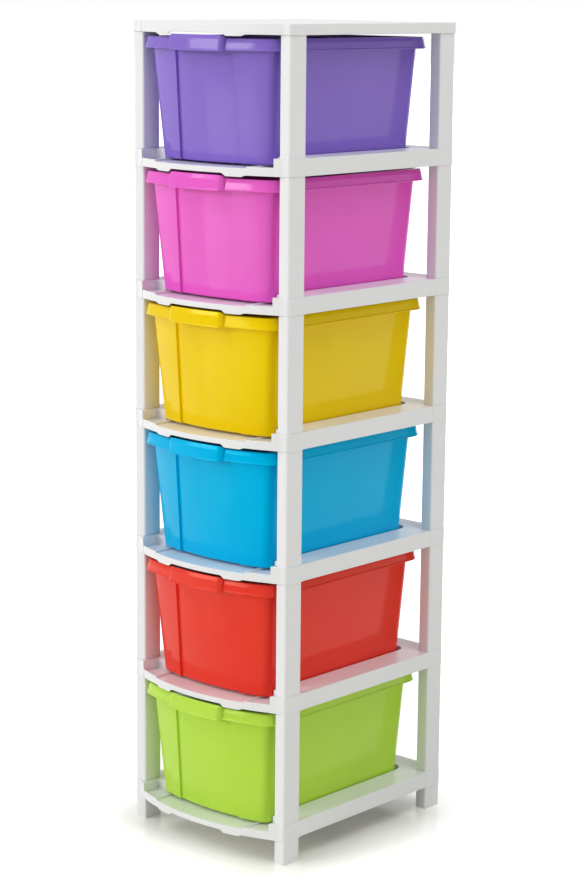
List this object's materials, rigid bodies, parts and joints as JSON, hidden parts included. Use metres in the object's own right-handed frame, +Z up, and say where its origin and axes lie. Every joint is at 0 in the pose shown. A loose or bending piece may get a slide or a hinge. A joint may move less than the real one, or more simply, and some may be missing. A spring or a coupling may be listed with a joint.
{
  "type": "plastic drawer tower",
  "caption": "Tall tower of tapered coloured drawers that slide on white moulded shelves, held apart by plug-in corner posts under a flat top panel.",
  "frame": {"origin": "on the floor, under the middle of the tower's footprint with the handles counted in", "axes": "+Z up, -Y out of the front where the drawers open, +X to the right of someone facing the front"},
  "size_m": [0.322, 0.4166, 1.253],
  "materials": {
    "frame_plastic": "satin white polypropylene",
    "drawer_purple": "satin purple polypropylene",
    "drawer_pink": "satin pink polypropylene",
    "drawer_yellow": "satin yellow polypropylene",
    "drawer_blue": "satin blue polypropylene",
    "drawer_red": "satin red polypropylene",
    "drawer_green": "satin green polypropylene"
  },
  "bodies": {
    "frame": {"top_panel": "frame_plastic", "shelf_1": "frame_plastic", "shelf_2": "frame_plastic", "shelf_3": "frame_plastic", "shelf_4": "frame_plastic", "shelf_5": "frame_plastic", "shelf_6": "frame_plastic", "post_1_front_left": "frame_plastic", "post_1_front_right": "frame_plastic", "post_1_back_left": "frame_plastic", "post_1_back_right": "frame_plastic", "post_2_front_left": "frame_plastic", "post_2_front_right": "frame_plastic", "post_2_back_left": "frame_plastic", "post_2_back_right": "frame_plastic", "post_3_front_left": "frame_plastic", "post_3_front_right": "frame_plastic", "post_3_back_left": "frame_plastic", "post_3_back_right": "frame_plastic", "post_4_front_left": "frame_plastic", "post_4_front_right": "frame_plastic", "post_4_back_left": "frame_plastic", "post_4_back_right": "frame_plastic", "post_5_front_left": "frame_plastic", "post_5_front_right": "frame_plastic", "post_5_back_left": "frame_plastic", "post_5_back_right": "frame_plastic", "post_6_front_left": "frame_plastic", "post_6_front_right": "frame_plastic", "post_6_back_left": "frame_plastic", "post_6_back_right": "frame_plastic", "foot_front_left": "frame_plastic", "foot_front_right": "frame_plastic", "foot_back_left": "frame_plastic", "foot_back_right": "frame_plastic"},
    "drawer_body_1": {"drawer_1": "drawer_green"},
    "drawer_body_2": {"drawer_2": "drawer_red"},
    "drawer_body_3": {"drawer_3": "drawer_blue"},
    "drawer_body_4": {"drawer_4": "drawer_yellow"},
    "drawer_body_5": {"drawer_5": "drawer_pink"},
    "drawer_body_6": {"drawer_6": "drawer_purple"}
  },
  "joints": [
    {"name": "drawer_1_slide", "type": "slide", "parent": "frame", "child": "drawer_body_1", "axis": [0, -1, 0], "range_m": [0, 0.28]},
    {"name": "drawer_2_slide", "type": "slide", "parent": "frame", "child": "drawer_body_2", "axis": [0, -1, 0], "range_m": [0, 0.28]},
    {"name": "drawer_3_slide", "type": "slide", "parent": "frame", "child": "drawer_body_3", "axis": [0, -1, 0], "range_m": [0, 0.28]},
    {"name": "drawer_4_slide", "type": "slide", "parent": "frame", "child": "drawer_body_4", "axis": [0, -1, 0], "range_m": [0, 0.28]},
    {"name": "drawer_5_slide", "type": "slide", "parent": "frame", "child": "drawer_body_5", "axis": [0, -1, 0], "range_m": [0, 0.28]},
    {"name": "drawer_6_slide", "type": "slide", "parent": "frame", "child": "drawer_body_6", "axis": [0, -1, 0], "range_m": [0, 0.28]}
  ]
}
